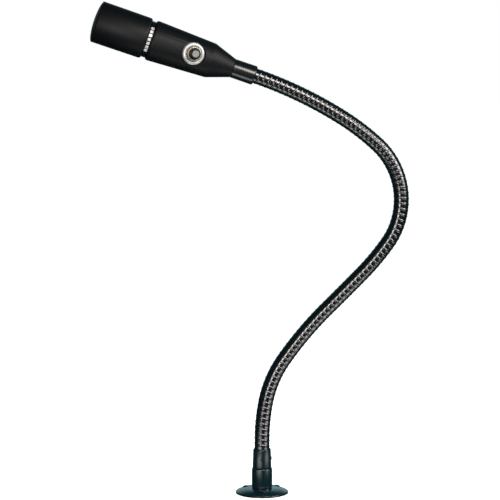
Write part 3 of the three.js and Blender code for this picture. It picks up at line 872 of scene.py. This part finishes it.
def make_set_screws():
    """Grub screws with a hexagonal socket, their flat tips just clear of the hose."""
    tip, end = HOSE_RADIUS + 0.2, 9
    for name, place in set_screw_places():
        points = [
            (0, tip),
            (SET_SCREW_RADIUS - 0.3, tip, 0.1),
            (SET_SCREW_RADIUS, tip + 0.3),
            (SET_SCREW_RADIUS, end, 0.25),
            (0, end),
        ]
        screw = lathe("grub_screw_" + name, points, [GLOSS], place, sides=48)
        socket = [(0, end - 1.2), (0.95, end - 1), (1.02, end + 0.5), (0, end + 0.5)]
        cut(screw, [lathe("socket", socket, [], place, sides=6)])
        stand_for(screw, "root", "black_screw", "ferrule_set_screw_" + name)


def make_nipple():
    foot, thread_depth = 0.6, 0.42

    def radius_at(height, turn):
        phase = (height / STEM_PITCH + turn) % 1.0
        return THREAD_RADIUS - thread_depth * abs(2 * phase - 1)

    nipple = wound("threaded_stem", radius_at, foot, NIPPLE_TOP, STEM_PITCH, 8, 64, [STEEL],
                   inner=PASSAGE_RADIUS)
    stand_for(nipple, "root", "plated_steel", "threaded_nipple")


# ------------------------------------------------------------------ gooseneck


def coil_radius(arc, turn):
    """The hose's outside: a flat wire and a narrower round one wound side by side on a slow helix."""
    phase = (arc / HOSE_PITCH + turn) % 1.0
    off = abs(phase - 0.5)
    if off < RIDGE_SHARE:
        return HOSE_RADIUS - RIDGE_RISE * (1 - math.sqrt(1 - (off / RIDGE_SHARE) ** 2))
    seam = (off - RIDGE_SHARE) / (0.5 - RIDGE_SHARE)
    return HOSE_RADIUS - FLAT_DROP - SEAM_DROP * math.exp(-seam / SEAM_SHARE)


def lead_radius(arc, turn):
    return LEAD_RADIUS


def make_along_hose(name, radius_at, inner, material, node, first_arc, last_arc, per_turn, sides):
    """One piece for each hinge, from the middle of one section to the middle of the next, and two end
    pieces. The end pieces go on the first and the last body; the others go on no body, and nothing here
    bends them between two bodies."""
    bodies = ["root"] + [f"gooseneck_link_{i:02d}" for i in range(2, HINGES + 1)] + ["head"]
    middles = [hinge_arc(i) + HINGE_SPACING / 2 for i in range(HINGES - 1)]
    cuts = [hinge_arc(0) - HINGE_SPACING / 2] + middles + [hinge_arc(HINGES - 1) + HINGE_SPACING / 2]
    inset = 2.2
    spans = list(zip([first_arc] + cuts, cuts + [last_arc]))
    for i, (low, high) in enumerate(spans):
        piece = wound(f"{name}_{i + 1:02d}", radius_at, low, high, HOSE_PITCH, per_turn, sides,
                      [material], inner=inner, bend=True)
        if i in (0, len(spans) - 1):
            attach(piece, bodies[0] if i == 0 else bodies[-1])
        else:
            hose_point(low + inset)
            hose_point(high - inset)
            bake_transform(piece)
        if i <= HINGES:
            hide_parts(f"{node}_{i + 1:02d}")


# ------------------------------------------------------------------ head


def dome_height(radius):
    """The height of the head's domed front at this radius."""
    share = min(1, radius / CAP_FRONT_RADIUS)
    return CAP_FRONT + DOME_RISE * (1 - share * share) ** 0.6


def quarter(start, end, radial_first, steps=8):
    """Points of a quarter-round shoulder between two (radius, height) points."""
    points = []
    for i in range(steps + 1):
        angle = math.pi / 2 * i / steps
        slow, fast = 1 - math.cos(angle), math.sin(angle)
        radial, axial = (fast, slow) if radial_first else (slow, fast)
        points.append((start[0] + (end[0] - start[0]) * radial, start[1] + (end[1] - start[1]) * axial))
    return points


def make_neck_ferrule():
    socket = HOSE_RADIUS + SOCKET_GAP
    floor = HOSE_INSERT + GAP
    points = [
        (socket, 0, 0.15),
        (NECK_REAR_RADIUS - 1.0, 0, 0.1),
        (NECK_REAR_RADIUS, 0.9, 0.9),
        (NECK_FRONT_RADIUS, NECK_LENGTH - 0.2, 0.1),
        (NECK_FRONT_RADIUS - 0.2, NECK_LENGTH),
        (NECK_SPIGOT_RADIUS, NECK_LENGTH),
        (NECK_SPIGOT_RADIUS, NECK_SPIGOT_TIP, 0.3),
        (PASSAGE_RADIUS, NECK_SPIGOT_TIP, 0.2),
        (PASSAGE_RADIUS, floor),
        (socket, floor),
    ]
    ferrule = lathe("neck_sleeve", points, [SATIN], HEAD, closed=True)
    stand_for(ferrule, "head", "satin_black", "neck_ferrule")


def make_rear_housing():
    rear = NECK_LENGTH + GAP
    rear_bore = NECK_SPIGOT_RADIUS + SOCKET_GAP
    front_bore = SPIGOT_RADIUS + GAP + 0.1
    points = [
        (rear_bore, rear),
        (NECK_FRONT_RADIUS, rear, 0.15),
        (CONE_FRONT_RADIUS, CONE_FRONT, 0.5),
        *quarter((BODY_FRONT_RADIUS, BODY_FRONT - SHOULDER), (SHOULDER_FOOT_RADIUS, BODY_FRONT), False),
        (front_bore, BODY_FRONT),
        (front_bore, SPIGOT_REAR - 1),
        (CONE_FRONT_RADIUS - BODY_WALL, CONE_FRONT + 1),
        (rear_bore, NECK_SPIGOT_TIP + 0.8),
    ]
    housing = lathe("rear_shell", points, [MATTE], HEAD, closed=True, sides=FINE)
    inside, outside, seat_margin = 9, 21, 1.2
    barrel = rod("barrel_hole", BUSHING_RADIUS + SOCKET_GAP, inside, outside, SWITCH, 96)
    seat = rod("seat", BEZEL_RADIUS + seat_margin, SEAT_HEIGHT, outside, SWITCH, ROUND)
    cut(housing, [barrel, seat])
    stand_for(housing, "head", "matte_black", "rear_housing")


def make_trim_band():
    """A black ring in the groove, with four strips let into it: a toothed nickel one on the button's
    side, another opposite, and plain black ones between them."""
    inner = SPIGOT_RADIUS + GAP
    low, high = BODY_FRONT + GAP, CAP_REAR - GAP
    middle = (low + high) / 2
    half, slack = 1.5, 0.05
    face = BAND_RADIUS - 0.1
    channel = BAND_RADIUS - 1.1
    points = [
        (inner, low),
        (face, low, 0.15),
        (face, middle - half - slack),
        (channel, middle - half - slack),
        (channel, middle + half + slack),
        (face, middle + half + slack),
        (face, high, 0.15),
        (inner, high),
    ]
    ring = lathe("groove_ring", points, [SATIN], HEAD, closed=True)
    stand_for(ring, "head", "satin_black", "trim_band")
    strips = (("front", -90, True), ("back", 90, True), ("top", 0, False), ("bottom", 180, False))
    for name, facing, toothed in strips:
        strip = make_strip("strip_" + name, facing, channel + 0.02, middle, half, toothed)
        stand_for(strip, "head", "trim_nickel" if toothed else "satin_black")


def make_strip(name, facing, inner, middle, half, toothed):
    """A quarter of the strip round the groove, facing this way: separate teeth, or one plain piece."""
    span = 89.4
    teeth = 7 if toothed else 1
    filled = 0.7 if toothed else 1
    outer = BAND_RADIUS - (0.0 if toothed else 0.25)
    bevel = 0.25
    columns = 10 if toothed else 60
    verts, faces = [], []
    for tooth in range(teeth):
        first = len(verts)
        start = facing + span * ((tooth + (1 - filled) / 2) / teeth - 0.5)
        for k in range(columns + 1):
            angle = math.radians(start + span * filled / teeth * k / columns)
            drop = bevel if k in (0, columns) and toothed else 0
            outline = [(-half, inner), (-half, outer - bevel - drop), (bevel - half, outer - drop),
                       (half - bevel, outer - drop), (half, outer - bevel - drop), (half, inner)]
            for height, radius in outline:
                verts.append((radius * math.cos(angle), radius * math.sin(angle), middle + height))
        rows = 6
        for k in range(columns):
            for j in range(rows):
                n = (j + 1) % rows
                a, b = first + k * rows, first + (k + 1) * rows
                faces.append((a + j, b + j, b + n, a + n))
        faces.append(tuple(first + j for j in range(rows)))
        faces.append(tuple(first + columns * rows + j for j in reversed(range(rows))))
    return add_object(name, verts, faces, [TRIM if toothed else SATIN], HEAD, STRIP_HARD_ABOVE)


def make_front_cap():
    bore_floor = CAP_REAR + 4
    steps = 8
    lip = [CAP_FRONT_RADIUS - (CAP_FRONT_RADIUS - CAP_BORE) * i / steps for i in range(1, steps)]
    points = [
        (SPIGOT_BORE, SPIGOT_REAR, 0.2),
        (SPIGOT_RADIUS, SPIGOT_REAR, 0.3),
        (SPIGOT_RADIUS, CAP_REAR),
        *quarter((SHOULDER_FOOT_RADIUS, CAP_REAR), (CAP_REAR_RADIUS, CAP_REAR + SHOULDER), True),
        (CAP_FRONT_RADIUS, CAP_FRONT),
        *[(radius, dome_height(radius)) for radius in lip],
        (CAP_BORE, dome_height(CAP_BORE), 0.15),
        (CAP_BORE, bore_floor),
        (SPIGOT_BORE, bore_floor - 2),
    ]
    cap = lathe("front_shell", points, [MATTE], HEAD, closed=True, sides=FINE)
    stand_for(cap, "head", "matte_black", "front_cap")


def make_grille():
    """A domed steel sheet, perforated on a triangular grid, with a short skirt."""
    pitch, hole, margin = 2.3, 0.75, 1.3
    row_pitch = pitch * math.sqrt(3) / 2
    edge = GRILLE_RADIUS - margin
    disc = [(0, 0), (GRILLE_RADIUS, 0), (GRILLE_RADIUS, GRILLE_SHEET, 0.25), (0, GRILLE_SHEET)]
    flat = lathe("perforated_front", disc, [GRILLE])
    holes = bmesh.new()
    rows = int(edge / row_pitch) + 1
    for row in range(-rows, rows + 1):
        for column in range(-rows - 1, rows + 2):
            x = (column + 0.5 * (row % 2)) * pitch
            y = row * row_pitch
            if math.hypot(x, y) > edge:
                continue
            spot = Matrix.Translation((x * MM, y * MM, GRILLE_SHEET / 2 * MM))
            bmesh.ops.create_cone(holes, cap_ends=True, segments=16, matrix=spot,
                                  radius1=hole * MM, radius2=hole * MM, depth=3 * GRILLE_SHEET * MM)
    mesh = bpy.data.meshes.new("holes")
    holes.to_mesh(mesh)
    holes.free()
    cutter = bpy.data.objects.new("holes", mesh)
    bpy.context.scene.collection.objects.link(cutter)
    cut(flat, [cutter])
    for vertex in flat.data.vertices:
        r = math.hypot(vertex.co.x, vertex.co.y) / MM
        vertex.co.z += (dome_height(min(r, GRILLE_RADIUS)) - GRILLE_SHEET) * MM
    flat.data.transform(HEAD)
    shade(flat, STRIP_HARD_ABOVE)
    stand_for(flat, "head", "grille_black", "front_grille")
    skirt_foot, skirt_top = CAP_FRONT - 3, CAP_FRONT - 0.2
    skirt = [
        (GRILLE_RADIUS - GRILLE_SHEET, skirt_foot),
        (GRILLE_RADIUS, skirt_foot, 0.1),
        (GRILLE_RADIUS, skirt_top),
        (GRILLE_RADIUS - GRILLE_SHEET, skirt_top),
    ]
    rim = lathe("grille_skirt", skirt, [GRILLE], HEAD, closed=True)
    stand_for(rim, "head", "grille_black")


# ------------------------------------------------------------------ talk switch


def make_bezel():
    foot = SEAT_HEIGHT + GAP
    bore = BUSHING_RADIUS + SOCKET_GAP
    shoulder_radius = 8.4
    points = [
        (bore, foot),
        (BEZEL_RADIUS, foot, 0.15),
        *quarter((BEZEL_RADIUS, foot + 0.7), (shoulder_radius, BEZEL_TOP), False, 10),
        (BEZEL_CROWN_RADIUS, BEZEL_TOP, 0.2),
        (bore, BEZEL_TOP - 0.9, 0.1),
    ]
    bezel = lathe("dress_nut", points, [NICKEL], SWITCH, closed=True)
    stand_for(bezel, "head", "bright_nickel", "switch_bezel")


def make_bushing():
    """The switch's barrel, with a collar inside the housing and a separate sleeve of thread."""
    core = BUSHING_RADIUS - 0.5
    thread_depth = 0.34
    points = [
        (BUSHING_COUNTERBORE, BUSHING_FOOT),
        (COLLAR_RADIUS, BUSHING_FOOT, 0.2),
        (COLLAR_RADIUS, COLLAR_TOP, 0.3),
        (core, COLLAR_TOP),
        (core, BUSHING_TOP - 0.9, 0.1),
        (BUSHING_RADIUS - 0.1, BUSHING_TOP - 0.8, 0.1),
        (BUSHING_RADIUS - 0.1, BUSHING_TOP - 0.3, 0.15),
        (core, BUSHING_TOP, 0.15),
        (BUSHING_BORE + 0.3, BUSHING_TOP, 0.1),
        (BUSHING_BORE, BUSHING_TOP - 0.3, 0.1),
        (BUSHING_BORE, BUSHING_STEP),
        (BUSHING_COUNTERBORE, BUSHING_STEP),
    ]
    barrel = lathe("switch_barrel", points, [BARREL], SWITCH, closed=True)
    stand_for(barrel, "head", "bright_nickel", "switch_bushing")

    def radius_at(height, turn):
        phase = (height / THREAD_PITCH + turn) % 1.0
        return BUSHING_RADIUS - 0.05 - thread_depth * abs(2 * phase - 1)

    thread = wound("switch_barrel_thread", radius_at, COLLAR_TOP + 0.1, BUSHING_TOP - 1,
                   THREAD_PITCH, 6, 64, [BARREL], SWITCH, inner=core - 0.1)
    stand_for(thread, "head", "bright_nickel")


def make_plunger():
    """A black button with a grey pad let into its top."""
    rim = PLUNGER_TOP - 0.3
    collar_top = BUSHING_STEP - 0.4
    points = [
        (0, PLUNGER_FOOT),
        (PLUNGER_COLLAR_RADIUS, PLUNGER_FOOT, 0.2),
        (PLUNGER_COLLAR_RADIUS, collar_top, 0.2),
        (PLUNGER_RADIUS, collar_top),
        (PLUNGER_RADIUS, rim - 0.7, 0.5),
        (PLUNGER_RADIUS - 0.7, rim, 0.4),
        (PAD_RADIUS + 0.2, rim, 0.1),
        (PAD_RADIUS + 0.1, rim - 0.5),
        (0, rim - 0.5),
    ]
    plunger = lathe("talk_plunger", points, [BUTTON], SWITCH, sides=96)
    stand_for(plunger, "talk_button", "matte_black", "switch_plunger")
    pad_points = [
        (0, rim - 0.45),
        (PAD_RADIUS, rim - 0.45, 0.05),
        (PAD_RADIUS, PLUNGER_TOP - 0.15, 0.25),
        (PAD_RADIUS - 0.6, PLUNGER_TOP, 0.3),
        (0, PLUNGER_TOP - 0.25),
    ]
    pad = lathe("talk_pad", pad_points, [PLUNGER], SWITCH, sides=96)
    stand_for(pad, "talk_button", "plunger_grey")


def make_spring():
    """The return spring, made in one shape; nothing here closes it up as the button goes in."""
    low, high, turns = -5.2, 6.8, 5
    coil, wire = 3.6, 0.38
    steps, sides = 200, 10
    verts = []
    for i in range(steps + 1):
        share = i / steps
        angle = share * turns * 2 * math.pi
        out = Vector((math.cos(angle), math.sin(angle), 0))
        centre = out * coil + Vector((0, 0, low + (high - low) * share))
        for k in range(sides):
            around = 2 * math.pi * k / sides
            up = Vector((0, 0, wire * math.sin(around)))
            verts.append(tuple(centre + out * wire * math.cos(around) + up))
    faces = wall(0, steps + 1, sides, False)
    faces.append(tuple(range(sides - 1, -1, -1)))
    faces.append(tuple(range(steps * sides, (steps + 1) * sides)))
    spring = add_object("return_spring", verts, faces, [STEEL], SWITCH, THREAD_HARD_ABOVE)
    stand_for(spring, "head", "plated_steel", "switch_spring")
    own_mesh(spring)


# ------------------------------------------------------------------ assembly

make_stage()
GLOSS = gloss_black()
HOSE = hose_black()
SATIN = satin_black()
MATTE = matte_black()
GRILLE = grille_black()
NICKEL = bright_nickel()
TRIM = trim_nickel()
PLUNGER = plunger_grey()
BUTTON = button_black()
BARREL = barrel_nickel()
STEEL = plated_steel()
JACKET = jacket_rubber()

make_flange()
make_wood_screws()
make_nipple()
make_coupler()
make_lower_ferrule()
make_set_screws()
make_along_hose("hose", coil_radius, HOSE_BORE, HOSE, "hose_section",
                -HOSE_INSERT, HOSE_LENGTH + HOSE_INSERT, per_turn=24, sides=48)
make_along_hose("lead", lead_radius, 0, JACKET, "lead_section",
                1 - FERRULE_TOP, HOSE_LENGTH + CONE_FRONT + 2, per_turn=2, sides=20)
make_neck_ferrule()
make_rear_housing()
make_trim_band()
make_front_cap()
make_grille()
make_bezel()
make_bushing()
make_plunger()
make_spring()
finish_inner_nodes()
